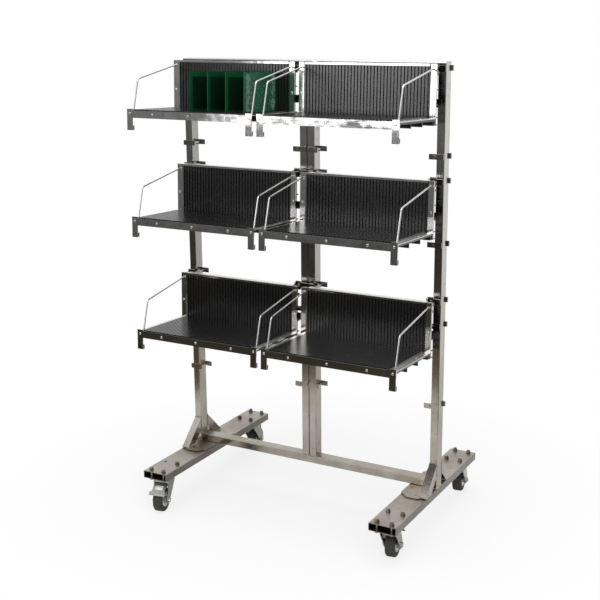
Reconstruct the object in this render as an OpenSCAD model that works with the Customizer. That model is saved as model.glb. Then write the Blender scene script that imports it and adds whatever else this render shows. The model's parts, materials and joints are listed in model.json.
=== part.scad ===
// Magazine rack for printed circuit boards: a free-standing frame of square
// steel tube on four swivel casters, which carries six tilted magazines.
// X runs to the right, Y to the back, Z up; the origin is on the floor, under
// the middle of the outline.

/* [Frame] */
// Width of the frame over its outer posts
frame_w = 910; // [900:1:940]
// Height of the frame above the floor
frame_h = 1454.5; // [1300:0.5:1700]
// Width of a post, seen from the front
post_w = 25; // [24:0.5:28]
// Depth of a post and of the two cross tubes
post_d = 40; // [38:0.5:44]
// Height of a cross tube and of an outrigger
rail_h = 25; // [24:0.5:30]
// Wall of every tube
tube_wall = 2; // [1.5:0.1:3]
// Radius of a tube's outer corners
tube_r = 2.5; // [2:0.1:4]
// Gap between the two centre posts
centre_gap = 1.5; // [1:0.1:3]
// Width of an outrigger
outrigger_w = 90; // [86:1:100]
// Length of an outrigger, front to back
outrigger_l = 650; // [640:1:700]
// Thickness of the plate under each outer post
plate_t = 4; // [3:0.5:6]
// Length of the plate under each outer post
plate_l = 230; // [220:1:260]
// Corner cut of the plate
plate_cut = 26; // [15:1:30]
// How far a diagonal brace reaches from the post along the plate
brace_reach = 83.5; // [70:0.5:90]
// Thickness of a diagonal brace, square to its length
brace_t = 30; // [25:0.5:32]

/* [Clamps] */
// Height of a clamp plate
clamp_h = 16; // [14:0.5:20]
// Thickness of a clamp plate
clamp_t = 3.4; // [3:0.1:4]
// How far the long plate's tab stands out past its post
tab_reach = 22; // [20:0.5:25]
// How far the clamp bolt's axis lies beside its post
bolt_offset = 5; // [4.5:0.1:6]
// Shank diameter of a clamp bolt
clamp_bolt_d = 5; // [4:0.5:6]
// Drop of each level of clamps below the top of the frame, from the bottom up
clamp_drop = [1040.5, 783.5, 706.5, 533.5, 344.5, 271.5, 19];

/* [Magazines] */
// Width of one magazine
rack_w = 442; // [436:1:444]
// Depth of a magazine from its front strip to its back ribs
rack_d = 268; // [262:1:280]
// Height of a magazine's back above its front brackets' tops
rack_h = 144.5; // [140:0.5:150]
// Backward tilt of every magazine in degrees
tilt = 2.5; // [2:0.1:3]
// Drop of the brackets' tops below the top of the frame, row by row
row_drop = [137.5, 467.5, 830.5];
// Distance of the front strips before the posts' middle
rack_front = 328.8; // [325:0.1:340]
// Number of board slots in a magazine
slots = 38; // [10:1:38]
// Distance from slot to slot
slot_pitch = 10.6; // [10:0.05:10.65]
// Width of a slot
slot_w = 4; // [3:0.1:5]
// Depth of a slot between its ridges
slot_deep = 3.5; // [3:0.1:4]
// Width of the metal strips at a magazine's sides
side_w = 21; // [18:0.5:21]
// Drop of the front brackets
bracket_h = 64; // [55:1:70]
// Wire diameter of the side guards
guard_d = 5; // [4:0.5:6]

/* [Boards] */
// Thickness of a circuit board
board_t = 1.6; // [1:0.1:2]
// Height of a circuit board
board_h = 118; // [80:1:118]
// Slots of the top left magazine that hold a board, counted from the left
board_slots = [15, 21, 27, 33];

/* [Casters] */
// Wheel diameter
wheel_d = 80; // [70:1:82]
// Wheel width over the tread
wheel_w = 32; // [28:1:34]
// Height of a caster from the floor to the top of its plate
caster_h = 113.5; // [112:0.5:116]
// Distance of the wheel's axle behind the swivel axis
trail = 36; // [30:1:38]
// Width over the fork's legs
fork_w = 52; // [50:0.5:56]
// Distance of the front swivel axes from the outriggers' front ends
caster_inset_front = 54.8; // [53:0.1:59]
// Distance of the rear swivel axes from the outriggers' rear ends
caster_inset_rear = 51.2; // [50:0.1:57]
// Diameter of the caster's fixing bolts
stud_d = 8; // [6:0.5:8]
// Spacing of the fixing bolts across the outrigger
stud_x = 48; // [46:1:52]
// Spacing of the fixing bolts along the outrigger
stud_y = 78; // [76:1:84]
// Clearance between a turning shaft and its bore, on the radius
running_fit = 0.05; // [0.03:0.01:0.1]

/* [Hidden] */
$fn = 48;

// Frame levels and places
outrigger_z = caster_h;
plate_z = outrigger_z + rail_h;
crossbar_z = plate_z + plate_t;
rail_z = frame_h - rail_h;
outer_x = frame_w / 2 - post_w / 2;
centre_x = centre_gap / 2 + post_w / 2;
outrigger_x = frame_w / 2 - outrigger_w / 2;
clamp_z = [for (drop = clamp_drop) frame_h - drop];
row_z = [for (drop = row_drop) frame_h - drop];
hanger_clamps = [6, 4, 2];

// Magazine levels, in its own tilted frame: Y from the strip's front, Z from the brackets' tops
sheet = 2;
strip_front = sheet;
panel_front = strip_front + sheet;
strip_top = -5;
strip_low = -27;
ridge_top = -1.5;
floor_z = ridge_top - slot_deep;
margin_z = -8;
shelf_low = -14.5;
rib_low = -27;
ridge_front = rack_d - 21;
groove_back = ridge_front + slot_deep;
panel_back = rack_d - 11;
rib_t = 3;
shelf_rib_y = 80;
shelf_rib_pitch = 78;
shelf_ribs = [for (k = [0:2]) shelf_rib_y + k * shelf_rib_pitch];
back_rib_foot = -6;
back_rib_z = 29;
back_rib_pitch = 42;
back_ribs = [back_rib_foot, for (k = [0:2]) back_rib_z + k * back_rib_pitch];
panel_x = sheet;
panel_w = rack_w - 2 * panel_x;
slot_x0 = (rack_w - (slots - 1) * slot_pitch) / 2;
board_y0 = 67;

// Caster places and levels
caster_front = outrigger_l / 2 - caster_inset_front;
caster_rear = outrigger_l / 2 - caster_inset_rear;
axle_z = wheel_d / 2;
caster_plate_t = 3;
race_h = 6.5;
yoke_top = caster_h - caster_plate_t - race_h;
yoke_t = 6;
fork_t = 3;
kingpin_d = 12;
axle_d = 10;
pedal_pin_d = 6;
pedal_pin_t = 27;
pedal_pin_z = 90;
pedal_t = 2.5;
leg_r = 14;
stud_play = 0.5;

// Corners, magazines and casters by name
rack_x = [-rack_w - 8, 8];
headings = [-167, 9, 6, 9];
caster_at = [[-1, -caster_front], [1, -caster_front], [-1, caster_rear], [1, caster_rear]];
stud_signs = [[-1, -1], [1, -1], [-1, 1], [1, 1]];

// ---------- Shared shapes ----------

// Rectangle with true round corners
module round_rect(w, d, r) {
    square([w - 2 * r, d], center = true);
    square([w, d - 2 * r], center = true);
    for (x = [-1, 1], y = [-1, 1]) translate([x * (w / 2 - r), y * (d / 2 - r)]) circle(r);
}

// Section of a rectangular tube
module tube_section(w, d) {
    difference() {
        round_rect(w, d, tube_r);
        round_rect(w - 2 * tube_wall, d - 2 * tube_wall, tube_r - tube_wall + 1);
    }
}

// Places its children in a magazine's tilted frame; row 0 is the top one, side 0 the left one
module in_rack(row, side) {
    translate([rack_x[side], -rack_front, row_z[row]]) rotate([-tilt, 0, 0]) children();
}

// Places its children on caster i: X along the wheel's trail, Y along the axle
module in_caster(i) {
    translate([caster_at[i][0] * outrigger_x, caster_at[i][1], 0])
        rotate([0, 0, 90 + headings[i]]) children();
}

// ---------- Frame ----------

// Rectangular tube, open at both ends, drilled right through for the casters' bolts
module outrigger(side) {
    difference() {
        translate([side * outrigger_x, outrigger_l / 2, outrigger_z + rail_h / 2]) rotate([90, 0, 0])
            linear_extrude(outrigger_l) tube_section(outrigger_w, rail_h);
        for (y = [-caster_front, caster_rear], s = stud_signs)
            translate([side * outrigger_x + s[0] * stud_x / 2, y + s[1] * stud_y / 2, outrigger_z - 1])
                cylinder(h = rail_h + 2, d = stud_d + stud_play);
    }
}

module outrigger_left() { color("silver") outrigger(-1); }
module outrigger_right() { color("silver") outrigger(1); }

// Outline of a base plate, with its four corners cut
module plate_outline() {
    w = outrigger_w / 2;
    l = plate_l / 2;
    c = plate_cut;
    polygon([[-w, c - l], [c - w, -l], [w - c, -l], [w, c - l],
        [w, l - c], [w - c, l], [c - w, l], [-w, l - c]]);
}

// Countersunk screws of one base plate
plate_screws_at = [[-27, -46], [6, -92], [-27, 46], [6, 92]];
screw_head_r = 4.5;
screw_r = 2.5;

module screw_cone(play) {
    translate([0, 0, plate_z + plate_t - 2]) cylinder(h = 2, r1 = screw_r + play, r2 = screw_head_r + play);
}

module base_plates() {
    color("silver") for (s = [-1, 1]) difference() {
        translate([s * outrigger_x, 0, plate_z]) linear_extrude(plate_t) plate_outline();
        for (p = plate_screws_at) translate([s * (outrigger_x + p[0]), p[1], 0]) {
            screw_cone(0);
            translate([0, 0, plate_z - 1]) cylinder(h = plate_t, r = screw_r);
        }
    }
}

module plate_screws() {
    color("gray") for (s = [-1, 1], p = plate_screws_at)
        translate([s * (outrigger_x + p[0]), p[1], 0]) difference() {
            union() {
                screw_cone(0);
                translate([0, 0, plate_z]) cylinder(h = plate_t - 2, r = screw_r);
            }
            translate([0, 0, plate_z + plate_t - 1.2]) cylinder(h = 2, r = 1.7, $fn = 6);
        }
}

// Low cross tube that stands on the two base plates, between the outer posts
module crossbar() {
    l = frame_w - 2 * post_w;
    color("silver") translate([-l / 2, 0, crossbar_z + rail_h / 2]) rotate([90, 0, 90])
        linear_extrude(l) tube_section(post_d, rail_h);
}

module post(x, z0) {
    translate([x, 0, z0]) linear_extrude(rail_z - z0) tube_section(post_w, post_d);
}

module post_left() { color("silver") post(-outer_x, crossbar_z); }
module post_right() { color("silver") post(outer_x, crossbar_z); }
module post_centre_left() { color("silver") post(-centre_x, crossbar_z + rail_h); }
module post_centre_right() { color("silver") post(centre_x, crossbar_z + rail_h); }

// Top tube over all four posts, its ends closed by thin caps, drilled for the highest clamps' bolts
module top_rail() {
    color("silver") difference() {
        translate([-frame_w / 2, 0, rail_z + rail_h / 2]) rotate([90, 0, 90]) {
            linear_extrude(frame_w) tube_section(post_d, rail_h);
            for (x = [0, frame_w - tube_wall]) translate([0, 0, x])
                linear_extrude(tube_wall) round_rect(post_d, rail_h, tube_r);
        }
        for (p = clamp_posts) translate([p[0] + p[1] * (post_w / 2 + bolt_offset), 0, clamp_z[6]])
            rotate([90, 0, 0]) cylinder(h = 2 * post_d, d = clamp_bolt_d + 0.5, center = true);
    }
}

// Diagonal tube from an outer post's face down to its base plate, mitred at both ends
module brace(side, dir) {
    reach = brace_reach;
    low = brace_t * sqrt(2);
    translate([side * outer_x - post_w / 2, dir * post_d / 2, crossbar_z]) rotate([90, 0, 90])
        linear_extrude(post_w)
            polygon([[0, reach], [dir * reach, 0], [dir * (reach - low), 0], [0, reach - low]]);
}

module braces() {
    color("silver") for (s = [-1, 1], d = [-1, 1]) brace(s, d);
}

// ---------- Clamps on the posts ----------

// One entry per post: its middle, the side of its tab, and whether it is an outer post
clamp_posts = [[-outer_x, 1, 1], [-centre_x, -1, 0], [centre_x, 1, 0], [outer_x, -1, 1]];

// Bar from x0 to x1, counted from the post's middle towards the tab, on the post's front or rear face
module clamp_bar(x0, x1, face) {
    translate([x0, face > 0 ? post_d / 2 : -post_d / 2 - clamp_t, -clamp_h / 2])
        cube([x1 - x0, clamp_t, clamp_h]);
}

// Places its children beside each clamp's post, with X towards the tab
module at_clamps() {
    for (p = clamp_posts, z = clamp_z) {
        $face = p[1];
        $outer = p[2];
        $packing = len([for (i = hanger_clamps) if (clamp_z[i] == z) i]) * 3;
        translate([p[0], 0, z]) mirror([p[1] > 0 ? 0 : 1, 0, 0]) children();
    }
}

module bolt_hole() {
    translate([post_w / 2 + bolt_offset, 0, 0]) rotate([90, 0, 0])
        cylinder(h = 4 * post_d, d = clamp_bolt_d, center = true);
}

// Long plates: the tab that carries a magazine
module clamp_long_plates() {
    color("silver") at_clamps() difference() {
        clamp_bar(1 - post_w / 2, post_w / 2 + tab_reach, $face);
        bolt_hole();
    }
}

// Short plates on the other face, with a claw round the outer posts' far corner
module clamp_short_plates() {
    claw = 3;
    color("silver") at_clamps() difference() {
        union() {
            clamp_bar($outer * -6 - post_w / 2, post_w / 2 + 12, -$face);
            if ($outer > 0) translate([-6 - post_w / 2, -$face * (post_d / 2 - claw / 2) - claw / 2,
                -clamp_h / 2]) cube([6, claw, clamp_h]);
        }
        bolt_hole();
    }
}

// Bolt through both plates: hexagon head in front, nut behind
module clamp_bolts() {
    reach = post_d / 2 + clamp_t;
    color("gray") at_clamps() translate([post_w / 2 + bolt_offset, 0, 0]) rotate([90, 0, 0]) {
        translate([0, 0, -reach - 5]) cylinder(h = 2 * reach + 5 + $packing, d = clamp_bolt_d);
        translate([0, 0, reach + $packing]) cylinder(h = 3.5, r = 4.6, $fn = 6);
        translate([0, 0, -reach - 4]) cylinder(h = 4, r = 4.6, $fn = 6);
    }
}

// ---------- Magazines ----------

// Edges of the slots, from the left margin to the right one
function slot_x(i) = slot_x0 + i * slot_pitch;

// Ridged outline across a panel: a plate with a row of square grooves, base at y = 0
module ridged_outline(plate, margin) {
    difference() {
        union() {
            translate([panel_x, 0]) square([panel_w, plate + margin]);
            translate([side_w, 0]) square([rack_w - 2 * side_w, plate + slot_deep]);
        }
        for (i = [0:slots - 1]) translate([slot_x(i) - slot_w / 2, plate]) square([slot_w, slot_deep + 1]);
    }
}

// Shelf: ridged plate with a front skirt and cross ribs below, open at its sides
module shelf(row, side) {
    plate = floor_z - shelf_low;
    l = ridge_front - panel_front;
    in_rack(row, side) {
        translate([0, ridge_front, shelf_low]) rotate([90, 0, 0])
            linear_extrude(l) ridged_outline(plate, margin_z - floor_z);
        for (y = concat([panel_front], shelf_ribs))
            translate([panel_x, y, rib_low]) cube([panel_w, rib_t, shelf_low - rib_low]);
    }
}

// Back: ridged plate above the shelf, plain below, with cross ribs behind, open at its sides
module back(row, side) {
    plate = panel_back - groove_back;
    rib = rack_d - panel_back;
    h = rack_h - sheet - rib_low;
    stiffener_x = [for (k = [1:3]) k * rack_w / 4];
    in_rack(row, side) {
        translate([rack_w, panel_back, margin_z]) rotate([0, 0, 180])
            linear_extrude(rack_h - sheet - margin_z) ridged_outline(plate, slot_deep - sheet);
        translate([panel_x, ridge_front, rib_low])
            cube([panel_w, panel_back - ridge_front, margin_z - rib_low]);
        for (z = concat([rib_low], back_ribs, [rack_h - sheet - 2 * rib_t]))
            translate([panel_x, panel_back, z]) cube([panel_w, rib, z > rack_h / 2 ? 2 * rib_t : rib_t]);
        for (x = stiffener_x) translate([x, panel_back, rib_low]) cube([rib_t, rib, h]);
    }
}

// Front bracket: a flat bar whose foot turns back and up into a hook
module bracket() {
    hook = 9;
    lip = 14;
    translate([side_w, 0, 0]) rotate([90, 0, -90]) linear_extrude(side_w)
        polygon([[0, 0], [0, -bracket_h], [-hook, -bracket_h], [-hook, lip - bracket_h],
            [sheet - hook, lip - bracket_h], [sheet - hook, sheet - bracket_h],
            [-sheet, sheet - bracket_h], [-sheet, 0]]);
}

// Side strip on the shelf
module side_strip() {
    translate([0, strip_front, margin_z]) cube([side_w, ridge_front - 2 - strip_front, sheet]);
}

// Upright rail on the back panel: flat bar, proud of the ridges, with a bevelled inner edge
module side_rail() {
    proud = 2;
    bevel = 4;
    translate([0, 0, margin_z]) linear_extrude(rack_h - margin_z)
        polygon([[0, ridge_front + sheet], [0, ridge_front - proud], [side_w - bevel, ridge_front - proud],
            [side_w, ridge_front + 1], [side_w, ridge_front + sheet]]);
}

// Metal trim of one magazine: strips, rails and brackets
module trim(row, side) {
    in_rack(row, side) {
        for (m = [0, 1]) translate([m * rack_w, 0, 0]) mirror([m, 0, 0]) {
            bracket();
            side_strip();
            side_rail();
        }
        translate([0, strip_front, strip_low]) cube([rack_w, sheet, strip_top - strip_low]);
        translate([side_w, ridge_front, rack_h - sheet]) cube([rack_w - 2 * side_w, 21, sheet]);
        translate([side_w, ridge_front - sheet, rack_h - 6]) cube([rack_w - 2 * side_w, sheet, 6]);
    }
}

// Side guards: bent wires from the shelf's front corners to the side rails
guard_y = [18.5, 42, ridge_front - 2];
guard_z = [margin_z + sheet, 88, 130.5];
guard_bend = 12;

module guard() {
    steep = atan2(guard_z[1] - guard_z[0], guard_y[1] - guard_y[0]);
    flat = atan2(guard_z[2] - guard_z[1], guard_y[2] - guard_y[1]);
    turn = steep - flat;
    lap = 0.5;
    tangent = guard_bend * tan(turn / 2);
    low = norm([guard_y[1] - guard_y[0], guard_z[1] - guard_z[0]]) - tangent;
    high = norm([guard_y[2] - guard_y[1], guard_z[2] - guard_z[1]]) - tangent;
    translate([0, guard_y[1], guard_z[1]]) rotate([90, 0, 90]) {
        rotate([0, 0, flat]) translate([tangent - lap, 0, 0]) rotate([0, 90, 0])
            cylinder(h = high + 5, d = guard_d);
        rotate([0, 0, steep]) translate([lap - tangent, 0, 0]) rotate([0, -90, 0])
            cylinder(h = low + 5, d = guard_d);
        rotate([0, 0, flat]) translate([tangent, -guard_bend, 0]) rotate([0, 0, 90])
            rotate_extrude(angle = turn) translate([guard_bend, 0]) circle(d = guard_d + 0.1);
    }
}

module guards(row, side) {
    in_rack(row, side) for (x = [side_w / 2 + 0.5, rack_w - side_w / 2 - 0.5]) difference() {
        translate([x, 0, 0]) guard();
        translate([x - 10, 0, margin_z + sheet - 20]) cube([20, 60, 20]);
        translate([x - 10, ridge_front - 2, 100]) cube([20, 20, 60]);
    }
}

// Hangers: a web between the back ribs and a post, flanged in front and held by the clamp's bolt
hanger_t = 3;
hanger_half = 14;
hanger_foot = 24;
web_x = post_w / 2 + bolt_offset + 8;

// A magazine's own point (y, z) in the row's upright frame
function rack_point(row, y, z) = [y * cos(tilt) + z * sin(tilt) - rack_front,
    row_z[row] - y * sin(tilt) + z * cos(tilt)];

// Hanger of one row beside a post's middle, X towards the clamp's tab
module hanger(row) {
    low = rack_point(row, rack_d, 20);
    bolt_z = clamp_z[hanger_clamps[row]];
    seat = -post_d / 2 - clamp_t;
    waist = (low[0] + seat) / 2;
    translate([web_x, 0, 0]) rotate([90, 0, 90]) linear_extrude(hanger_t)
        polygon([low, rack_point(row, rack_d, rack_h - 14), [seat, bolt_z + hanger_half],
            [seat, bolt_z - hanger_half], [waist, bolt_z - 2 * hanger_half], [waist, low[1] + 40],
            [-post_d / 2, low[1] + hanger_foot], [-post_d / 2, low[1]]]);
    difference() {
        translate([post_w / 2 - 2, seat - hanger_t, bolt_z - hanger_half])
            cube([web_x + hanger_t - post_w / 2 + 2, hanger_t, 2 * hanger_half]);
        translate([0, 0, bolt_z]) bolt_hole();
    }
    translate([0, -post_d / 2 - hanger_t, low[1]]) cube([web_x + hanger_t, hanger_t, hanger_foot]);
    translate([web_x, -rack_front, row_z[row]]) rotate([-tilt, 0, 0])
        translate([0, rack_d, 20]) cube([20, hanger_t, rack_h - 36]);
}

module hangers() {
    color("silver") for (row = [0:2], p = clamp_posts)
        translate([p[0], 0, 0]) mirror([p[1] > 0 ? 0 : 1, 0, 0]) hanger(row);
}

// Blind rivets: low round heads on brackets, strips, rails and panels
rivet_r = 3.6;
rivet_h = 1.6;
rivet_pitch = 129;
rail_rivet_out = 2;
strip_rivet_z = -16;
bracket_rivet_z = -13.5;
margin_rivet_y = 165;
rail_rivet_z = 53;

module rivet() {
    cylinder(h = rivet_h / 2, r = rivet_r);
    translate([0, 0, rivet_h / 2]) cylinder(h = rivet_h / 2, r1 = rivet_r, r2 = rivet_r * 0.6);
}

module rivets() {
    color("white") for (row = [0:2], side = [0, 1]) in_rack(row, side) {
        for (x = [side_w / 2, rack_w - side_w / 2]) {
            translate([x, 0, bracket_rivet_z]) rotate([90, 0, 0]) rivet();
            translate([x, margin_rivet_y, margin_z + sheet]) rivet();
            translate([x + sign(x - rack_w / 2) * rail_rivet_out, ridge_front - sheet, rail_rivet_z])
                rotate([90, 0, 0]) rivet();
        }
        for (k = [-1:1]) translate([rack_w / 2 + k * rivet_pitch, strip_front, strip_rivet_z])
            rotate([90, 0, 0]) rivet();
    }
}

// Circuit boards, upright in the slots, their rear edges against the back panel's slots
module board(i) {
    in_rack(0, 0) translate([slot_x(board_slots[i]) - board_t / 2, board_y0, floor_z])
        cube([board_t, groove_back - board_y0, board_h]);
}

// ---------- Casters ----------

// Fixed plate under the outrigger, with the ball race and the kingpin
module caster_plates() {
    color("silver") for (i = [0:3]) translate([caster_at[i][0] * outrigger_x, caster_at[i][1], 0]) {
        difference() {
            translate([0, 0, caster_h - caster_plate_t]) linear_extrude(caster_plate_t)
                round_rect(stud_x + 20, stud_y + 20, 6);
            for (s = stud_signs) translate([s[0] * stud_x / 2, s[1] * stud_y / 2, 0])
                cylinder(h = caster_h + 1, d = stud_d + stud_play);
        }
        translate([0, 0, yoke_top + 0.3]) cylinder(h = race_h - 0.3, r1 = 26, r2 = 29);
        cylinder_z(yoke_top - yoke_t - 1, yoke_top + 1, kingpin_d / 2);
        cylinder_z(yoke_top - yoke_t - 4.3, yoke_top - yoke_t - 0.3, 10);
    }
}

module cylinder_z(z0, z1, r) {
    translate([0, 0, z0]) cylinder(h = z1 - z0, r = r);
}

// Fixing bolts with their nuts and washers on top of the outriggers; one bolt is left out
module caster_bolts() {
    color("gray") for (i = [0:3], k = [0:3]) if (!(i == 0 && k == 2))
        translate([caster_at[i][0] * outrigger_x + stud_signs[k][0] * stud_x / 2,
            caster_at[i][1] + stud_signs[k][1] * stud_y / 2, 0]) {
            cylinder_z(caster_h - caster_plate_t - 1, plate_z + 11, stud_d / 2);
            translate([0, 0, caster_h - caster_plate_t - 5]) cylinder(h = 5, r = 7.5, $fn = 6);
            cylinder_z(plate_z, plate_z + 1.6, 8);
            translate([0, 0, plate_z + 1.6]) cylinder(h = 6.5, r = 7.5, $fn = 6);
        }
}

// Outline of a fork leg, seen along the axle: X along the trail, Y up
module leg_outline() {
    circle_x = trail;
    head_x = pedal_pin_t + 8;
    translate([circle_x, axle_z]) circle(leg_r);
    polygon([[circle_x + leg_r, axle_z], [circle_x + leg_r, axle_z + 12], [head_x, 82],
        [head_x, yoke_top], [-20, yoke_top], [-20, yoke_top - 12], [circle_x - leg_r, axle_z]]);
}

// Swivel fork: a pressed yoke with two legs, bored for kingpin, axle and pedal pin
module fork(i) {
    in_caster(i) difference() {
        union() {
            translate([-20, -fork_w / 2, yoke_top - yoke_t]) cube([pedal_pin_t + 28, fork_w, yoke_t]);
            cylinder_z(yoke_top - yoke_t, yoke_top, 24);
            for (s = [-1, 1]) translate([0, s * (fork_w - fork_t) / 2 + fork_t / 2, 0]) rotate([90, 0, 0])
                linear_extrude(fork_t) leg_outline();
        }
        cylinder_z(yoke_top - yoke_t - 1, yoke_top + 1, kingpin_d / 2 + running_fit);
        translate([trail, 0, axle_z]) rotate([90, 0, 0])
            cylinder(h = fork_w + 2, r = axle_d / 2 + running_fit, center = true);
        translate([pedal_pin_t, 0, pedal_pin_z]) rotate([90, 0, 0])
            cylinder(h = fork_w + 2, r = pedal_pin_d / 2 + running_fit, center = true);
    }
}

// Axle bolt with head and nut outside the legs
module axle(i) {
    in_caster(i) translate([trail, 0, axle_z]) rotate([90, 0, 0]) {
        cylinder(h = fork_w + 12, d = axle_d, center = true);
        translate([0, 0, fork_w / 2]) cylinder(h = 5, r = 8.6, $fn = 6);
        translate([0, 0, -fork_w / 2 - 5]) cylinder(h = 5, r = 8.6, $fn = 6);
    }
}

// Wheel: rounded tread, recessed web and a hub that runs on the axle
module wheel(i) {
    r = wheel_d / 2;
    w = wheel_w / 2;
    hub = fork_w / 2 - fork_t - 0.5;
    bore = axle_d / 2 + running_fit;
    shoulder = 6;
    in_caster(i) translate([trail, 0, axle_z]) rotate([90, 0, 0]) rotate_extrude($fn = 96) {
        difference() {
            union() {
                translate([bore, -w]) square([r - shoulder - bore, 2 * w]);
                translate([bore, shoulder - w]) square([r - bore, 2 * (w - shoulder)]);
                for (s = [-1, 1]) translate([r - shoulder, s * (w - shoulder)]) circle(shoulder);
                translate([bore, -hub]) square([11 - bore, 2 * hub]);
            }
            for (s = [-1, 1]) translate([11, s > 0 ? 6 : -w - 1]) square([r - 11 - 11, w - 5]);
        }
    }
}

// Brake pedal: a bent plate with two cheeks on a cross pin, its wide lip over the wheel
module pedal(i) {
    w = fork_w - 2 * fork_t - 3;
    heel = pedal_pin_t - 4;
    in_caster(i) {
        translate([0, w / 2, 0]) rotate([90, 0, 0]) linear_extrude(w)
            polygon([[heel, 95], [36, 95], [66, 76.5], [65, 74.2], [35, 92.5], [heel, 92.5]]);
        for (s = [0, 1]) translate([0, w / 2 - s * (w - pedal_t), 0]) rotate([90, 0, 0])
            linear_extrude(pedal_t) polygon([[heel, 95], [36, 95], [50, 86], [48, 84], [31, 85], [heel, 86]]);
        translate([0, w / 2 + 6, 0]) rotate([90, 0, 0]) linear_extrude(w + 12)
            polygon([[64, 77.7], [74, 72], [76, 67.5], [74, 67], [72.3, 70.2], [63, 75.5]]);
        translate([pedal_pin_t, 0, pedal_pin_z]) rotate([90, 0, 0])
            cylinder(h = fork_w, d = pedal_pin_d, center = true);
    }
}

module caster_fork(i) { color("lightsteelblue") fork(i); }
module caster_axle(i) { color("gray") axle(i); }
module caster_wheel(i) { color("#222222") wheel(i); }
module caster_pedal(i) { color("silver") pedal(i); }
module rack_back(row, side) { color("#151515") back(row, side); }
module rack_shelf(row, side) { color("#151515") shelf(row, side); }
module rack_trim(row, side) { color("gainsboro") trim(row, side); }
module rack_guards(row, side) { color("whitesmoke") guards(row, side); }
module circuit_board(i) { color("#0a5a3a") board(i); }

outrigger_left();
outrigger_right();
base_plates();
plate_screws();
crossbar();
post_left();
post_right();
post_centre_left();
post_centre_right();
top_rail();
braces();
clamp_long_plates();
clamp_short_plates();
clamp_bolts();
hangers();
rivets();
caster_plates();
caster_bolts();
rack_back(0, 0);  // back_tl
rack_back(0, 1);  // back_tr
rack_back(1, 0);  // back_ml
rack_back(1, 1);  // back_mr
rack_back(2, 0);  // back_bl
rack_back(2, 1);  // back_br
rack_shelf(0, 0);  // shelf_tl
rack_shelf(0, 1);  // shelf_tr
rack_shelf(1, 0);  // shelf_ml
rack_shelf(1, 1);  // shelf_mr
rack_shelf(2, 0);  // shelf_bl
rack_shelf(2, 1);  // shelf_br
rack_trim(0, 0);  // trim_tl
rack_trim(0, 1);  // trim_tr
rack_trim(1, 0);  // trim_ml
rack_trim(1, 1);  // trim_mr
rack_trim(2, 0);  // trim_bl
rack_trim(2, 1);  // trim_br
rack_guards(0, 0);  // guards_tl
rack_guards(0, 1);  // guards_tr
rack_guards(1, 0);  // guards_ml
rack_guards(1, 1);  // guards_mr
rack_guards(2, 0);  // guards_bl
rack_guards(2, 1);  // guards_br
caster_fork(0);  // fork_fl
caster_fork(1);  // fork_fr
caster_fork(2);  // fork_rl
caster_fork(3);  // fork_rr
caster_axle(0);  // axle_fl
caster_axle(1);  // axle_fr
caster_axle(2);  // axle_rl
caster_axle(3);  // axle_rr
caster_wheel(0);  // wheel_fl
caster_wheel(1);  // wheel_fr
caster_wheel(2);  // wheel_rl
caster_wheel(3);  // wheel_rr
caster_pedal(0);  // pedal_fl
caster_pedal(1);  // pedal_fr
circuit_board(0);  // board_1
circuit_board(1);  // board_2
circuit_board(2);  // board_3
circuit_board(3);  // board_4
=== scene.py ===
import json
import math

import bpy
import numpy as np
from mathutils import Matrix, Vector


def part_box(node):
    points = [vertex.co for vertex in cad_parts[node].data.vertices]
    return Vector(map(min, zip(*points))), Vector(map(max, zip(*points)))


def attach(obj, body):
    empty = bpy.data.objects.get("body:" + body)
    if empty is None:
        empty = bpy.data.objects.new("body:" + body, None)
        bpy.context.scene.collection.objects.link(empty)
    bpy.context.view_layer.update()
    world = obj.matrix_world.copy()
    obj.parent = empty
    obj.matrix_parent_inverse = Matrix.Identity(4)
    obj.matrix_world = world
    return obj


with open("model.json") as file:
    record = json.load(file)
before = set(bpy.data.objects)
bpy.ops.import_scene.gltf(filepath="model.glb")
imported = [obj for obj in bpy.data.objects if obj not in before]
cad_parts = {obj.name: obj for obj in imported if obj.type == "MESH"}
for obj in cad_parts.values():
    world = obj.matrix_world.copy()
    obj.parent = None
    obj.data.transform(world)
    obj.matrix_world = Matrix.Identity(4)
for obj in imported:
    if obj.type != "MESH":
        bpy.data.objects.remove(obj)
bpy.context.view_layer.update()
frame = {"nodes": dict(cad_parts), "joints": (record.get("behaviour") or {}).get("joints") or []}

node_of = frame["nodes"]

# ---------------------------------------------------------------- Studio
# A camera in front of the rack's right corner, a little above its top
# shelf, on a white sweep, with soft lamps overhead and in front.

CAMERA_AT = (1.6628, -3.0334, 1.5961)
CAMERA_TURN, CAMERA_DOWN, CAMERA_ROLL = (math.radians(a) for a in (29.32, 14.57, -0.54))

level_right = Vector((math.cos(CAMERA_TURN), math.sin(CAMERA_TURN), 0))
towards_camera = Vector((math.sin(CAMERA_TURN) * math.cos(CAMERA_DOWN),
                         -math.cos(CAMERA_TURN) * math.cos(CAMERA_DOWN), math.sin(CAMERA_DOWN)))
level_up = towards_camera.cross(level_right)
camera_right = math.cos(CAMERA_ROLL) * level_right + math.sin(CAMERA_ROLL) * level_up
camera_up = -math.sin(CAMERA_ROLL) * level_right + math.cos(CAMERA_ROLL) * level_up
lens = bpy.data.cameras.new("camera")
lens.sensor_width = 36
lens.lens = 66.58
camera = bpy.data.objects.new("camera", lens)
bpy.context.scene.collection.objects.link(camera)
camera.matrix_world = (Matrix.Translation(CAMERA_AT)
                       @ Matrix((camera_right, camera_up, towards_camera)).transposed().to_4x4())
bpy.context.scene.camera = camera
bpy.context.scene.view_settings.view_transform = "Standard"


def lamp(name, at, towards, size, watts):
    """Square soft lamp at a point, facing another point."""
    light = bpy.data.lights.new(name, "AREA")
    light.size = size
    light.energy = watts
    thing = bpy.data.objects.new(name, light)
    bpy.context.scene.collection.objects.link(thing)
    thing.location = at
    thing.rotation_euler = (Vector(towards) - Vector(at)).to_track_quat("-Z", "Y").to_euler()
    return thing


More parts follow.
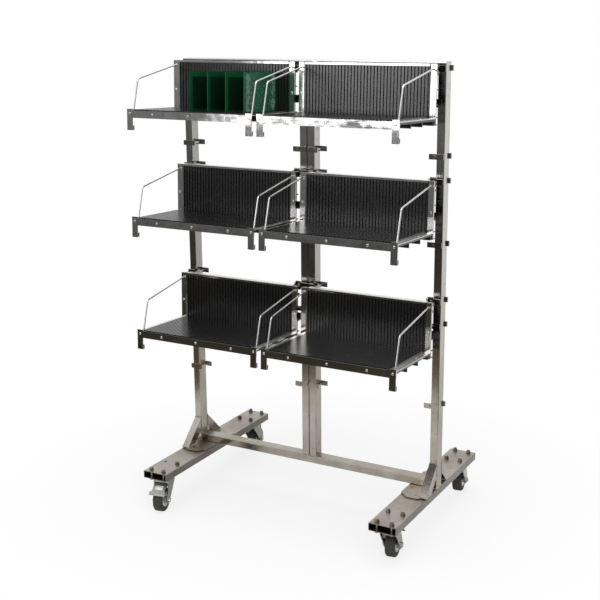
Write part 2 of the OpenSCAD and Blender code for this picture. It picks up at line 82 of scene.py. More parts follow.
def add_node(material, kind, inputs=(), **settings):
    """Adds a node; inputs maps a socket to a value or to another node's output."""
    node = material.node_tree.nodes.new("ShaderNode" + kind)
    for key, value in settings.items():
        setattr(node, key, value)
    for key, value in dict(inputs).items():
        if isinstance(value, bpy.types.NodeSocket):
            material.node_tree.links.new(value, node.inputs[key])
        else:
            node.inputs[key].default_value = value
    return node


def graded(material, value, start, end, first, last):
    """Maps a value from one span onto another and stops at its ends."""
    return add_node(material, "MapRange", {"Value": value, "From Min": start, "From Max": end,
                                           "To Min": first, "To Max": last}).outputs[0]


def combine(material, how, first, second):
    """Result of one arithmetic step on two values."""
    return add_node(material, "Math", {0: first, 1: second}, operation=how).outputs[0]


def ramp(material, value, *stops):
    """Colour ramp through (position, grey or colour) stops."""
    node = add_node(material, "ValToRGB", {"Fac": value})
    marks = node.color_ramp.elements
    while len(marks) < len(stops):
        marks.new(0.5)
    for mark, (position, colour) in zip(marks, stops):
        mark.position = position
        mark.color = (*colour, 1) if isinstance(colour, tuple) else (colour, colour, colour, 1)
    return node.outputs["Color"]


lamp("overhead", (0.2, -0.6, 3.4), (0, 0, 0.7), 2.6, 55)
lamp("front_left", (-1.17, -2.90, 1.82), (0, -0.3, 1.2), 1.15, 11)
lamp("front_right", (2.4, -2.5, 2.2), (0, 0, 0.8), 2.0, 44).visible_glossy = False

# The world is white to the camera; in reflections it is a studio with a pale
# wall behind, a dim room in front and a dark, brownish floor beyond the paper.
world = bpy.data.worlds.new("studio")
bpy.context.scene.world = world
world.use_nodes = True
world.node_tree.nodes.clear()
ray = add_node(world, "LightPath").outputs
way = add_node(world, "SeparateXYZ", {0: add_node(world, "TexCoord").outputs["Generated"]}).outputs
room = ramp(world, graded(world, way["Z"], -0.5, 0.5, 0.0, 1.0), (0.08, (0.42, 0.34, 0.26)),
            (0.15, (0.30, 0.22, 0.13)), (0.24, (0.035, 0.030, 0.021)), (0.34, (0.035, 0.034, 0.030)),
            (0.385, (0.11, 0.11, 0.108)), (0.46, (0.15, 0.15, 0.15)),
            (0.62, (0.30, 0.30, 0.30)), (0.9, (1, 1, 1)))
wall = ramp(world, way["X"], (0.30, (1, 1, 1)), (0.66, (0.42, 0.42, 0.42)))
in_front = graded(world, way["Y"], -0.15, 0.15, 1.0, 0.0)


def blend_colours(material, share, first, second):
    """Mixes two colours, each a tuple or an output, by a share between 0 and 1."""
    node = add_node(material, "Mix", data_type="RGBA")
    for key, value in ((0, share), (6, first), (7, second)):
        if isinstance(value, bpy.types.NodeSocket):
            material.node_tree.links.new(value, node.inputs[key])
        else:
            node.inputs[key].default_value = (*value, 1) if isinstance(value, tuple) else value
    return node.outputs[2]


mirrored = blend_colours(world, in_front, wall, room)
lit = blend_colours(world, ray["Is Glossy Ray"], (0.5, 0.5, 0.5), mirrored)
seen = blend_colours(world, ray["Is Camera Ray"], lit, (1.0, 1.0, 1.0))
white = add_node(world, "Background", {"Color": seen})
world.node_tree.links.new(white.outputs[0], add_node(world, "OutputWorld").inputs["Surface"])

FLOOR_R = 1.25
turn = np.linspace(0, 2 * np.pi, 96, endpoint=False)
floor_mesh = bpy.data.meshes.new("studio_floor")
floor_mesh.from_pydata(np.stack((FLOOR_R * np.cos(turn), FLOOR_R * np.sin(turn), 0 * turn), 1).tolist(), [],
                       [tuple(range(96))])
studio_floor = bpy.data.objects.new("studio_floor", floor_mesh)
bpy.context.scene.collection.objects.link(studio_floor)
sweep = bpy.data.materials.new("white_sweep")
sweep.use_nodes = True
paper = sweep.node_tree.nodes["Principled BSDF"]
paper.inputs["Base Color"].default_value = (0.93, 0.93, 0.93, 1)
paper.inputs["Roughness"].default_value = 0.9
away = add_node(sweep, "VectorMath", {0: add_node(sweep, "TexCoord").outputs["Object"]}, operation="LENGTH")
pale = combine(sweep, "MULTIPLY", graded(sweep, away.outputs["Value"], 0.6, 1.2, 0.78, 1.0),
               add_node(sweep, "LightPath").outputs["Is Camera Ray"])
glow = add_node(sweep, "Emission", {"Color": (1, 1, 1, 1), "Strength": 1.0})
both = add_node(sweep, "MixShader", {0: pale, 1: paper.outputs[0], 2: glow.outputs[0]})
sweep.node_tree.links.new(both.outputs[0], sweep.node_tree.nodes["Material Output"].inputs["Surface"])
floor_mesh.materials.append(sweep)

# ---------------------------------------------------------------- Frame tubes
# Outriggers, posts, cross tube and top tube are stainless steel tube, ground
# along its length and polished; years of handling left it warm and stained
# near the floor.


def blank_material(name, **sockets):
    """New material with one Principled shader whose sockets hold the given constants."""
    material = bpy.data.materials.new(name)
    material.use_nodes = True
    shader = material.node_tree.nodes["Principled BSDF"]
    for socket, value in sockets.items():
        shader.inputs[socket.replace("_", " ")].default_value = value
    return material, shader


def place(material, stretch):
    """Object coordinates in metres, multiplied along each axis."""
    where = add_node(material, "TexCoord")
    return add_node(material, "VectorMath", {0: where.outputs["Object"], 1: stretch},
                    operation="MULTIPLY").outputs[0]


def noise(material, stretch, detail=4.0, rough=0.6):
    """Fractal noise with the given number of waves per metre along each axis."""
    return add_node(material, "TexNoise", {"Vector": place(material, stretch), "Scale": 1.0,
                                           "Detail": detail, "Roughness": rough}).outputs["Fac"]


def height_share(material, low, high):
    """Share that goes from 1 below one height to 0 above another, in metres."""
    split = add_node(material, "SeparateXYZ", {0: add_node(material, "TexCoord").outputs["Object"]})
    return graded(material, split.outputs["Z"], low, high, 1.0, 0.0)


def wire_up(material, shader, **sockets):
    """Links outputs to the shader's sockets."""
    for socket, value in sockets.items():
        material.node_tree.links.new(value, shader.inputs[socket.replace("_", " ")])


def bumps(material, height, strength, distance):
    """Bump normal from a height field."""
    return add_node(material, "Bump", {"Height": height, "Strength": strength,
                                       "Distance": distance}).outputs["Normal"]


def ground_steel(name, grain, bright=(0.64, 0.63, 0.605), warm=(0.27, 0.225, 0.165), low=0.35, high=1.15,
                 smooth=0.08, rough=0.22, top_rough=0.34, side_shade_share=0.0,
                 stains=0.45, stain_size=60, waves=0.0):
    """Ground and polished stainless: long fine scratches, cloudy stains, warmer towards the floor,
    duller where it faces up and, by given shares, darkened by painted shade where it doesn't face up
    and buckled as thin sheet is. Waves is the height of the buckles in scratch depths."""
    material, shader = blank_material(name, Metallic=1.0)
    scratches = noise(material, grain, detail=6.0, rough=0.7)
    clouds = noise(material, (9, 9, 5), detail=5.0)
    spots = noise(material, (stain_size, stain_size, stain_size), detail=5.0)
    age = height_share(material, low, high)
    patchy = combine(material, "MULTIPLY", age, ramp(material, clouds, (0.25, 0.45), (0.7, 1.0)))
    tone = blend_colours(material, patchy, bright, warm)
    tone = blend_colours(material, ramp(material, scratches, (0.3, 0.0), (0.75, 0.35)), tone,
                         (0.50, 0.48, 0.45))
    tone = blend_colours(material, ramp(material, spots, (0.60, 0.0), (0.74, stains)), tone,
                         tuple(0.5 * c for c in warm))
    facing = add_node(material, "SeparateXYZ", {0: add_node(material, "NewGeometry").outputs["Normal"]})
    # share of a face that faces up: those faces get duller, and the faces that don't get the painted shade
    up_wear_and_side_shade = graded(material, facing.outputs["Z"], 0.3, 0.9, 0.0, 1.0)
    side_shade = graded(material, up_wear_and_side_shade, 0.0, 1.0, side_shade_share, 0.0)
    # painted shade: faces that don't face up are darkened towards a dark warm tone, by the given share
    tone = blend_colours(material, side_shade, tone, tuple(0.3 * c for c in warm))
    dull = add_node(material, "Mix", {0: up_wear_and_side_shade, 2: graded(material, clouds, 0.2, 0.8, smooth, rough),
                                      3: top_rough}, data_type="FLOAT").outputs[0]
    buckles = noise(material, (14, 14, 14), detail=2.0)
    relief = add_node(material, "Math", {0: buckles, 1: waves, 2: scratches},
                      operation="MULTIPLY_ADD").outputs[0]
    wire_up(material, shader, Base_Color=tone, Roughness=dull, Normal=bumps(material, relief, 0.10, 0.0003))
    return material


def dress(material, *names):
    """Puts a material in every slot of the named nodes."""
    for name in names:
        mesh = node_of[name].data
        mesh.materials.clear()
        mesh.materials.append(material)
        mesh.polygons.foreach_set("material_index", np.zeros(len(mesh.polygons), np.int32))


dress(ground_steel("stainless_upright", (900, 900, 14)),
      "post_left", "post_right", "post_centre_left", "post_centre_right")
dress(ground_steel("stainless_across", (14, 900, 900)), "crossbar", "top_rail")
# the outriggers' sides carry painted shade: faces that don't face up are darkened
dress(ground_steel("stainless_outrigger", (900, 14, 900), warm=(0.22, 0.18, 0.135), side_shade_share=0.55),
      "outrigger_left", "outrigger_right")
dress(ground_steel("stainless_brace", (14, 300, 300), warm=(0.31, 0.265, 0.20)), "braces")

# ---------------------------------------------------------------- Weld beads
# Rippled fillet welds in stainless steel join the diagonal braces to posts and
# plates, and the posts to what they stand on.


def grids_to_piece(name, grids, material, body):
    """One object from entries of a grid and two flags. The grid is an (m, n, 3) array whose neighbours
    are joined by quads; the flags say whether it closes on itself along its first and second index."""
    points, faces, start = [], [], 0
    for grid, round_first, round_second in grids:
        m, n = grid.shape[:2]
        rows = np.arange(m if round_first else m - 1)[:, None]
        columns = np.arange(n if round_second else n - 1)[None, :]
        after_row, after_column = (rows + 1) % m, (columns + 1) % n
        quads = np.stack([rows * n + columns, after_row * n + columns,
                          after_row * n + after_column, rows * n + after_column], axis=-1)
        points.append(grid.reshape(-1, 3))
        faces.append(quads.reshape(-1, 4) + start)
        start += m * n
    mesh = bpy.data.meshes.new(name)
    mesh.from_pydata(np.concatenate(points).tolist(), [], np.concatenate(faces).tolist())
    mesh.materials.append(material)
    mesh.polygons.foreach_set("use_smooth", [True] * len(mesh.polygons))
    piece = bpy.data.objects.new(name, mesh)
    bpy.context.scene.collection.objects.link(piece)
    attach(piece, body)
    return piece


def bead_round(centre, along, across, half_along, half_across, radius=0.0021):
    """Closed bead round a rectangle in the plane of two unit vectors. The path is the superellipse
    |a/A|^14 + |b/B|^14 = 1; the bead is a circle swept along it, whose radius swells by a fifth
    every 2.6 mm."""
    along, across = np.array(along, float), np.array(across, float)
    out = np.cross(along, across)
    turn = np.linspace(0, 2 * np.pi, 720, endpoint=False)
    corner = (np.abs(np.cos(turn)) ** 14 + np.abs(np.sin(turn)) ** 14) ** (-1 / 14)
    a, b = half_along * corner * np.cos(turn), half_across * corner * np.sin(turn)
    path = np.array(centre) + a[:, None] * along + b[:, None] * across
    step = np.linalg.norm(np.roll(path, -1, 0) - path, axis=1)
    travelled = np.cumsum(step)
    swell = radius * (1 + 0.2 * np.sin(2 * np.pi * travelled / 0.0026))
    tangent = (np.roll(path, -1, 0) - np.roll(path, 1, 0))
    tangent /= np.linalg.norm(tangent, axis=1)[:, None]
    side = np.cross(tangent, out)
    ring = np.linspace(0, 2 * np.pi, 10, endpoint=False)
    return (path[:, None] + swell[:, None, None] * (np.cos(ring)[None, :, None] * side[:, None]
                                                    + np.sin(ring)[None, :, None] * out)), True, True


weld_steel = ground_steel("weld_steel", (200, 200, 200), bright=(0.50, 0.47, 0.42), warm=(0.40, 0.34, 0.26))
post_lo, post_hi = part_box("post_left")
brace_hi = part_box("braces")[1]
crossbar_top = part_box("crossbar")[1][2]
plate_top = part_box("base_plates")[1][2]
post_half_w, post_half_d = (post_hi[0] - post_lo[0]) / 2, (post_hi[1] - post_lo[1]) / 2
BRACE_CUT = 0.0212  # half the length of a brace's slanting end
beads = []
for side in (-1, 1):
    post_x = side * (abs(post_lo[0]) - post_half_w)
    for face in (-1, 1):
        beads.append(bead_round((post_x, face * post_half_d, brace_hi[2] - BRACE_CUT), (1, 0, 0), (0, 0, 1),
                                post_half_w, BRACE_CUT))
        beads.append(bead_round((post_x, face * (brace_hi[1] - BRACE_CUT), plate_top), (1, 0, 0), (0, 1, 0),
                                post_half_w, BRACE_CUT))
    beads.append(bead_round((post_x, 0, plate_top), (1, 0, 0), (0, 1, 0), post_half_w, post_half_d))
centre_x = (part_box("post_centre_right")[0][0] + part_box("post_centre_right")[1][0]) / 2
for side in (-1, 1):
    beads.append(bead_round((side * centre_x, 0, crossbar_top), (1, 0, 0), (0, 1, 0),
                            post_half_w, post_half_d, 0.0014))
grids_to_piece("weld_beads", beads, weld_steel, "frame")

# ---------------------------------------------------------------- Base plates
# Steel plates with cut corners under the outer posts, ground after welding and
# held by countersunk screws in plain steel.

# the plates' edges carry painted shade: faces that don't face up are darkened hard
dress(ground_steel("plate_steel", (500, 60, 500), bright=(0.60, 0.57, 0.52), warm=(0.25, 0.21, 0.155),
                   side_shade_share=0.8), "base_plates")
dress(ground_steel("screw_steel", (300, 300, 300), bright=(0.26, 0.23, 0.19), warm=(0.15, 0.12, 0.085)),
      "plate_screws", "caster_bolts")

# ---------------------------------------------------------------- Stud threads
# The fixing bolts of the casters stand a few turns of thread proud of their
# nuts; each end is a plated M8 thread with a small chamfer.


def lathe(at, axis, profile, steps=24):
    """Surface of revolution: profile is (distance along the axis, radius) pairs, turned round an
    axis through a point."""
    axis = np.array(axis, float) / np.linalg.norm(axis)
    helper = np.array((1.0, 0, 0)) if abs(axis[0]) < 0.9 else np.array((0, 1.0, 0))
    first = np.cross(axis, helper)
    first /= np.linalg.norm(first)
    second = np.cross(axis, first)
    turn = np.linspace(0, 2 * np.pi, steps, endpoint=False)
    reach, radius = np.array(profile, float).T
    ring = np.cos(turn)[:, None] * first + np.sin(turn)[:, None] * second
    return (np.array(at) + reach[:, None, None] * axis + radius[:, None, None] * ring[None]), False, True


def corners_of(node):
    """All vertices of a node as an (n, 3) array."""
    mesh = node_of[node].data
    found = np.empty(len(mesh.vertices) * 3)
    mesh.vertices.foreach_get("co", found)
    return found.reshape(-1, 3)


bolt_tips_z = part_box("caster_bolts")[1][2]
stud_r, thread_pitch = 0.004, 0.00125
thread_z = np.arange(0, 0.0030, thread_pitch / 4)
thread_r = stud_r + 0.0002 * (1 + np.sin(2 * np.pi * thread_z / thread_pitch))
thread = [(0, stud_r), *zip(thread_z, thread_r), (0.0031, stud_r - 0.0003), (0.0031, 0.00001)]
corners = corners_of("caster_bolts")
tips = corners[corners[:, 2] > bolt_tips_z - 1e-5][:, :2]
near = np.linalg.norm(tips[:, None] - tips[None], axis=2) < 0.009
middles = (near[:, :, None] * tips[None]).sum(1) / near.sum(1)[:, None]
studs = np.unique(np.round(middles, 3), axis=0)
plated = ground_steel("plated_thread", (300, 300, 300), bright=(0.46, 0.43, 0.37), warm=(0.36, 0.31, 0.24))
grids_to_piece("stud_threads", [lathe((*xy, bolt_tips_z - 0.0029), (0, 0, 1), thread) for xy in studs],
               plated, "frame")

# ---------------------------------------------------------------- Clamps and hangers
# Flat bar clamped round the posts by a bolt, and bent sheet hangers behind the
# magazines, both in stainless steel.

dress(ground_steel("clamp_steel", (40, 400, 400), bright=(0.42, 0.41, 0.39), warm=(0.34, 0.30, 0.24)),
      "clamp_long_plates", "clamp_short_plates", "hangers")
dress(ground_steel("clamp_bolt_steel", (300, 300, 300), bright=(0.60, 0.59, 0.57)), "clamp_bolts")

# ---------------------------------------------------------------- Magazine panels
# Black conductive plastic, injection moulded, with a fine satin skin; a little
# pale dust lies on it in patches.


def moulded_plastic(name):
    """Black moulding with a fine grained skin, faint flow streaks and pale dust."""
    material, shader = blank_material(name, IOR=1.8)
    skin = noise(material, (1800, 1800, 1800), detail=2.0)
    flow = noise(material, (40, 40, 6), detail=3.0)
    dust = noise(material, (130, 130, 130), detail=6.0, rough=0.7)
    tone = blend_colours(material, flow, (0.003, 0.003, 0.0032), (0.007, 0.007, 0.0072))
    tone = blend_colours(material, ramp(material, dust, (0.52, 0.0), (0.85, 0.08)), tone,
                         (0.16, 0.16, 0.15))
    wire_up(material, shader, Base_Color=tone, Roughness=graded(material, dust, 0.0, 1.0, 0.14, 0.34),
            Normal=bumps(material, skin, 0.1, 0.0002))
    return material


MAGAZINES = ("tl", "tr", "ml", "mr", "bl", "br")
dress(moulded_plastic("black_moulding"), *["back_" + m for m in MAGAZINES],
      *["shelf_" + m for m in MAGAZINES])

# ---------------------------------------------------------------- Magazine trim
# Polished stainless flat bar and sheet: brackets, strips and rails, with domed
# rivets and bent wire guards.

dress(ground_steel("trim_steel", (12, 300, 300), bright=(0.84, 0.84, 0.83), warm=(0.72, 0.69, 0.62), low=0.5,
                   smooth=0.04, rough=0.15, top_rough=0.4, stains=0.6, stain_size=28, waves=24.0),
      *["trim_" + m for m in MAGAZINES])
dress(ground_steel("guard_wire", (300, 300, 60), bright=(0.78, 0.78, 0.77), warm=(0.70, 0.69, 0.66)),
      *["guards_" + m for m in MAGAZINES])
dress(ground_steel("rivet_steel", (500, 500, 500), bright=(0.86, 0.86, 0.85), warm=(0.8, 0.79, 0.77)),
      "rivets")

# ---------------------------------------------------------------- Circuit boards
# Glass fibre boards under green solder mask, one pale all over. Each has a painted shade in
# its middle, where the neighbouring boards would shade it, inside a border painted lighter where
# light reaches; strongly on three boards, faintly on the pale one. Chips and capacitors are soldered
# to the left faces; the pale board shows solder joints on its right face.

joint_of = {joint["name"]: joint for joint in frame["joints"]}


def board_frame(number):
    """Front lower corner, backward and upward unit vectors, and sizes of a tilted board, worked out
    from its box and its slide."""
    low, high = (np.array(c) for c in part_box("board_%d" % number))
    back = -np.array(joint_of["slide_board_%d" % number]["axis"], float)
    up = np.array((0, -back[2], back[1]))
    span = high - low
    tilt = abs(back[2]) / back[1]
    length = (span[1] - tilt * span[2]) / (1 - tilt * tilt) / back[1]
    height = (span[2] - tilt * span[1]) / (1 - tilt * tilt) / back[1]
    corner = np.array((high[0], high[1], low[2])) - height * np.array((0, up[1], 0)) - length * back
    return corner, back, up, length, height, span[0]


def in_board(material, number):
    """Distances in metres from a board's front edge and from its lower edge, as two outputs."""
    corner, back, up, length, height, _ = board_frame(number)
    where = add_node(material, "TexCoord").outputs["Object"]
    away = add_node(material, "VectorMath", {0: where, 1: tuple(corner)}, operation="SUBTRACT").outputs[0]
    from_edges = [add_node(material, "VectorMath", {0: away, 1: tuple(edge)}, operation="DOT_PRODUCT")
                  for edge in (back, up)]
    return [node.outputs["Value"] for node in from_edges], length, height


def edge_share(material, value, low, high, soft):
    """Share that is 1 between two distances and falls to 0 over a soft edge just inside them."""
    return combine(material, "MULTIPLY", graded(material, value, low, low + soft, 0.0, 1.0),
                   graded(material, value, high - soft, high, 1.0, 0.0))


def solder_mask(name, number, border, light, shaded_green):
    """Green mask over glass weave: a border painted lighter as painted light, a painted shade in the middle
    and fine tracks under both.
    """
    material, shader = blank_material(name, Roughness=0.25, IOR=1.5)
    (front, low), length, height = in_board(material, number)
    # inside is the board's middle, which takes the painted shade; the border keeps the painted light
    inside = combine(material, "MULTIPLY", edge_share(material, front, border, length - border, 0.004),
                     edge_share(material, low, 0.004, height - border, 0.004))
    weave = noise(material, (2400, 2400, 2400), detail=2.0)
    clouds = noise(material, (22, 22, 22), detail=4.0)
    tracks = add_node(material, "TexBrick", {"Vector": place(material, (0, 260, 260)), "Scale": 1.0,
                                             "Mortar Size": 0.06, "Brick Width": 1.7, "Row Height": 0.5,
                                             "Color1": (1, 1, 1, 1), "Color2": (1, 1, 1, 1),
                                             "Mortar": (0, 0, 0, 1)}, offset_frequency=3, squash=0.6,
                      squash_frequency=2).outputs["Fac"]
    # painted shade in the middle of the board, painted light on its border
    tone = blend_colours(material, inside, light, shaded_green)
    tone = blend_colours(material, ramp(material, clouds, (0.3, 0.0), (0.8, 0.35)), tone,
                         tuple(0.1 * a + 0.9 * b for a, b in zip(light, shaded_green)))
    tone = blend_colours(material, combine(material, "MULTIPLY", tracks, 0.4), tone,
                         tuple(0.25 * a + 1.4 * b for a, b in zip(light, shaded_green)))
    wire_up(material, shader, Base_Color=tone, Normal=bumps(material, weave, 0.15, 0.0001))
    return material


# per board: the border's painted light colour, then the middle's painted shade colour
MASK_LIT_AND_SHADED_TONES = {1: ((0.003, 0.090, 0.026), (0.001, 0.006, 0.003)), 2: ((0.003, 0.066, 0.028), (0.001, 0.007, 0.005)),
         3: ((0.003, 0.092, 0.024), (0.001, 0.005, 0.003)), 4: ((0.004, 0.095, 0.045), (0.009, 0.068, 0.040))}
for number, (light, shaded_green) in MASK_LIT_AND_SHADED_TONES.items():
    dress(solder_mask("solder_mask_%d" % number, number, 0.013, light, shaded_green), "board_%d" % number)


def blocks(number, places, sizes, thick, face):
    """Small chamfered blocks on a board's right face (1) or left face (-1): places and sizes are
    pairs of metres along the board and up it. Each block is a stack of squares, the last one closed."""
    corner, back, up, _, _, width = board_frame(number)
    corner = corner - np.array((width, 0, 0)) * (face < 0)
    out = np.array((1.0, 0, 0)) * face
    square = np.array(((-1, -1), (1, -1), (1, 1), (-1, 1)))[::face] / 2
    levels = ((0.0, 1.0), (0.7, 1.0), (1.0, 0.8), (1.0, 0.001))
    made = []
    for (a, b), (w, h) in zip(places, sizes):
        layers = [corner + (a + square[:, :1] * w * shrink) * back + (b + square[:, 1:] * h * shrink) * up
                  + out * thick * rise for rise, shrink in levels]
        made.append((np.array(layers), False, True))
    return made


def small_part(name, tone, rough=0.4, metal=0.0):
    """Moulded or plated finish of small parts, with a fine mottle."""
    material, shader = blank_material(name, Metallic=metal, Roughness=rough)
    mottle = noise(material, (900, 900, 900), detail=3.0)
    wire_up(material, shader, Base_Color=blend_colours(material, mottle, tuple(0.8 * c for c in tone), tone),
            Normal=bumps(material, mottle, 0.2, 0.0001))
    return material


chip_black = small_part("chip_black", (0.025, 0.025, 0.027), 0.45)
part_tin = small_part("part_tin", (0.62, 0.62, 0.60), 0.35, 0.9)
solder_grey = small_part("solder_grey", (0.50, 0.62, 0.54), 0.45, 0.3)
part_ceramic = small_part("part_ceramic", (0.42, 0.36, 0.26), 0.5)
for number in (1, 2, 3, 4):
    dice = np.random.RandomState(40 + number)
    _, _, _, length, height, _ = board_frame(number)
    body = "card_%d" % number
    chips = np.array([(0.045, 0.030), (0.045, 0.075), (0.095, 0.055), (0.140, 0.035), (0.140, 0.082)])
    chip_sizes = np.array([(0.014, 0.014), (0.010, 0.018), (0.022, 0.022), (0.012, 0.020), (0.016, 0.010)])
    grid = np.stack(np.meshgrid(np.arange(0.012, length - 0.010, 0.0052),
                                np.arange(0.010, height - 0.010, 0.0052)), -1).reshape(-1, 2)
    clear = np.all([np.any(np.abs(grid - c) > s / 2 + 0.004, axis=1)
                    for c, s in zip(chips, chip_sizes)], axis=0)
    chosen = grid[clear][dice.permutation(clear.sum())[:160]]
    shape = np.where(dice.rand(len(chosen), 1) < 0.5, (0.0020, 0.0012), (0.0012, 0.0020))
    feet = [(c + np.array((side * (s[0] / 2 + 0.0008), k * 0.0013)), (0.0012, 0.0006))
            for c, s in zip(chips, chip_sizes) for side in (-1, 1)
            for k in range(int(-s[1] / 2 / 0.0013) + 1, int(s[1] / 2 / 0.0013))]
    grids_to_piece("chips_%d" % number, blocks(number, chips, chip_sizes, 0.0022, -1),
                   chip_black, body)
    grids_to_piece("chip_feet_%d" % number, blocks(number, *zip(*feet), 0.0006, -1),
                   part_tin, body)
    grids_to_piece("capacitors_%d" % number, blocks(number, chosen, shape, 0.0011, -1),
                   part_ceramic, body)
    if number == 4:
        across = np.stack(np.meshgrid(np.arange(0.009, length - 0.008, 0.00254),
                                      np.arange(0.007, height - 0.006, 0.00254)), -1).reshape(-1, 2)
        crowd = (np.exp(-((across[:, 0] - 0.020) / 0.014) ** 2)
                 + 0.8 * np.exp(-((across[:, 0] - 0.165) / 0.012) ** 2))
        joints = across[dice.rand(len(across)) < 0.04 + 0.60 * crowd]
        joint_sizes = np.where(dice.rand(len(joints), 1) < 0.5, (0.0013, 0.0013), (0.0008, 0.0019))
        grids_to_piece("solder_joints_4", blocks(number, joints, joint_sizes, 0.0004, 1),
                       solder_grey, body)

# ---------------------------------------------------------------- Caster metal
# Pressed steel plates, forks and pedals, zinc plated with a faint yellow cast,
# and plain steel axle bolts.

dress(ground_steel("zinc_plate", (120, 120, 120), bright=(0.33, 0.34, 0.31), warm=(0.27, 0.28, 0.24),
                   high=0.4, top_rough=0.5),
      "caster_plates", "fork_fl", "fork_fr", "fork_rl", "fork_rr", "pedal_fl", "pedal_fr")
dress(ground_steel("axle_steel", (250, 250, 250), bright=(0.60, 0.60, 0.57), warm=(0.52, 0.51, 0.46),
                   high=0.3),
      "axle_fl", "axle_fr", "axle_rl", "axle_rr")

# ---------------------------------------------------------------- Ball race covers
# A pressed ring over each swivel keeps dirt out of the balls; it hangs from the
# fixed plate round the race.

race_cover = ground_steel("race_cover_steel", (150, 150, 150), bright=(0.36, 0.37, 0.31),
                          warm=(0.28, 0.29, 0.22))
plates_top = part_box("caster_plates")[1][2]
CORNERS = ("fl", "fr", "rl", "rr")
for corner_name in CORNERS:
    x, y, _ = joint_of["swivel_" + corner_name]["pos_m"]
    top = plates_top - 0.003
    cover = [(0.0, 0.0285), (-0.0005, 0.0305), (-0.0016, 0.0318), (-0.0034, 0.0316), (-0.0048, 0.0302),
             (-0.0054, 0.0284), (-0.0054, 0.0272), (-0.0048, 0.0268)]
    grids_to_piece("race_cover_" + corner_name, [lathe((x, y, top), (0, 0, 1), cover, 64)],
                   race_cover, "frame")

# ---------------------------------------------------------------- Fork crowns
# The fork's head is pressed into a shallow round crown that holds the lower
# ring of the ball race; it turns with the fork.

crown = [(0.0, 0.0262), (0.0004, 0.0285), (-0.0008, 0.0296), (-0.0030, 0.0300), (-0.0058, 0.0298),
         (-0.0066, 0.0290), (-0.0062, 0.0284), (-0.0030, 0.0286), (-0.0012, 0.0280), (-0.0006, 0.0262)]
crown_steel = ground_steel("crown_steel", (150, 150, 150), bright=(0.36, 0.37, 0.31), warm=(0.28, 0.29, 0.22))
for corner_name in CORNERS:
    x, y, _ = joint_of["swivel_" + corner_name]["pos_m"]
    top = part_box("fork_" + corner_name)[1][2] - 0.0004
    grids_to_piece("crown_" + corner_name, [lathe((x, y, top), (0, 0, 1), crown, 64)],
                   crown_steel, "caster_" + corner_name)

# ---------------------------------------------------------------- Pedal label
# A plain white sticker on the sloping sheet of the front left brake pedal; it
# is thin vinyl with rounded corners, left blank.


def rounded_patch(centre, along, across, length, width, radius, thick):
    """Thin pad whose outline is a rectangle with quarter circle corners, built as rings: bottom edge,
    top edge and a closed middle."""
    out = np.cross(along, across)
    turn = np.linspace(0, 2 * np.pi, 48, endpoint=False)
    a = np.sign(np.cos(turn)) * (length / 2 - radius) + radius * np.cos(turn)
    b = np.sign(np.sin(turn)) * (width / 2 - radius) + radius * np.sin(turn)
    rim = a[:, None] * along + b[:, None] * across
    return np.stack([centre + rim * shrink + out * lift
                     for shrink, lift in ((1, 0), (1, thick), (0.0001, thick))]), False, True


spots = corners_of("pedal_fl")
pivot = np.array(joint_of["swivel_fl"]["pos_m"])
hinge = np.array(joint_of["brake_fl"]["axis"], float)
outward = np.cross((0, 0, 1.0), hinge)
outward *= np.sign(outward[1]) * -1
reach = (spots - pivot) @ outward
crest = spots[:, 2].max()
knee = reach[spots[:, 2] > crest - 1e-5].max()
foot = np.array((0.066, 0.0765))  # lower edge of the sloping sheet: out from the kingpin, and up
slope = foot - (knee, crest)
slope /= np.linalg.norm(slope)
down = slope[0] * outward + np.array((0, 0, slope[1]))
middle = (np.array((knee, crest)) + foot) / 2
label_at = np.array((*pivot[:2], 0)) + middle[0] * outward + np.array((0, 0, middle[1] + 0.00002))
sideways = np.cross((0, 0, 1.0), outward)
vinyl, vinyl_shader = blank_material("label_vinyl", Roughness=0.45)
grain = noise(vinyl, (700, 700, 700), detail=3.0)
wire_up(vinyl, vinyl_shader, Base_Color=blend_colours(vinyl, grain, (0.80, 0.80, 0.78), (0.88, 0.88, 0.87)),
        Normal=bumps(vinyl, grain, 0.1, 0.0001))
grids_to_piece("pedal_label", [rounded_patch(label_at, down, sideways, 0.017, 0.027, 0.0015, 0.0002)], vinyl,
               "brake_fl")

# ---------------------------------------------------------------- Wheels
# Black rubber tyre moulded on a grey nylon hub, with a pressed steel thread
# guard on each side of the hub.


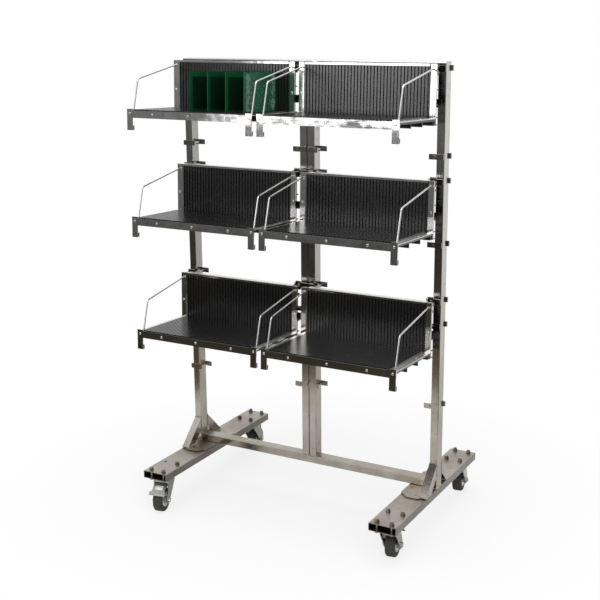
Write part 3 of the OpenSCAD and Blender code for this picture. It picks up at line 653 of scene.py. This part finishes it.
def wheel_finish(name, corner_name):
    """Rubber from 29 mm outwards from the axle, grey nylon inside, both scuffed and dusty."""
    roll = joint_of["roll_" + corner_name]
    material, shader = blank_material(name)
    where = add_node(material, "TexCoord").outputs["Object"]
    away = add_node(material, "VectorMath", {0: where, 1: tuple(roll["pos_m"])},
                    operation="SUBTRACT").outputs[0]
    along = add_node(material, "VectorMath", {0: away, 1: tuple(roll["axis"])},
                     operation="PROJECT").outputs[0]
    flat = add_node(material, "VectorMath", {0: away, 1: along}, operation="SUBTRACT").outputs[0]
    radius = add_node(material, "VectorMath", {0: flat}, operation="LENGTH").outputs["Value"]
    rubber = graded(material, radius, 0.0288, 0.0294, 0.0, 1.0)
    scuff = noise(material, (160, 160, 160), detail=6.0)
    tread = graded(material, radius, 0.0385, 0.040, 0.0, 1.0)
    black = blend_colours(material, ramp(material, scuff, (0.42, 0.0), (0.75, 0.55)), (0.012, 0.012, 0.011),
                          (0.10, 0.092, 0.08))
    black = blend_colours(material, combine(material, "MULTIPLY", tread, 0.35), black, (0.045, 0.042, 0.038))
    grey = blend_colours(material, scuff, (0.20, 0.20, 0.19), (0.34, 0.33, 0.31))
    wire_up(material, shader, Base_Color=blend_colours(material, rubber, grey, black),
            Roughness=graded(material, rubber, 0.0, 1.0, 0.42, 0.66),
            Normal=bumps(material, scuff, 0.3, 0.0004))
    return material


guard_steel = ground_steel("thread_guard_steel", (200, 200, 200), bright=(0.62, 0.62, 0.58),
                           warm=(0.55, 0.54, 0.49), high=0.3)
for corner_name in CORNERS:
    dress(wheel_finish("wheel_finish_" + corner_name, corner_name), "wheel_" + corner_name)
    roll = joint_of["roll_" + corner_name]
    axle = np.array(roll["axis"], float)
    dish = [(0.0140, 0.0112), (0.0150, 0.0112), (0.0158, 0.0135), (0.0162, 0.0180), (0.0160, 0.0225),
            (0.0152, 0.0250), (0.0146, 0.0250), (0.0150, 0.0222), (0.0152, 0.0180), (0.0148, 0.0137),
            (0.0140, 0.0115)]
    grids_to_piece("thread_guards_" + corner_name,
                   [lathe(roll["pos_m"], side * axle, dish, 64) for side in (-1, 1)],
                   guard_steel, "roller_" + corner_name)
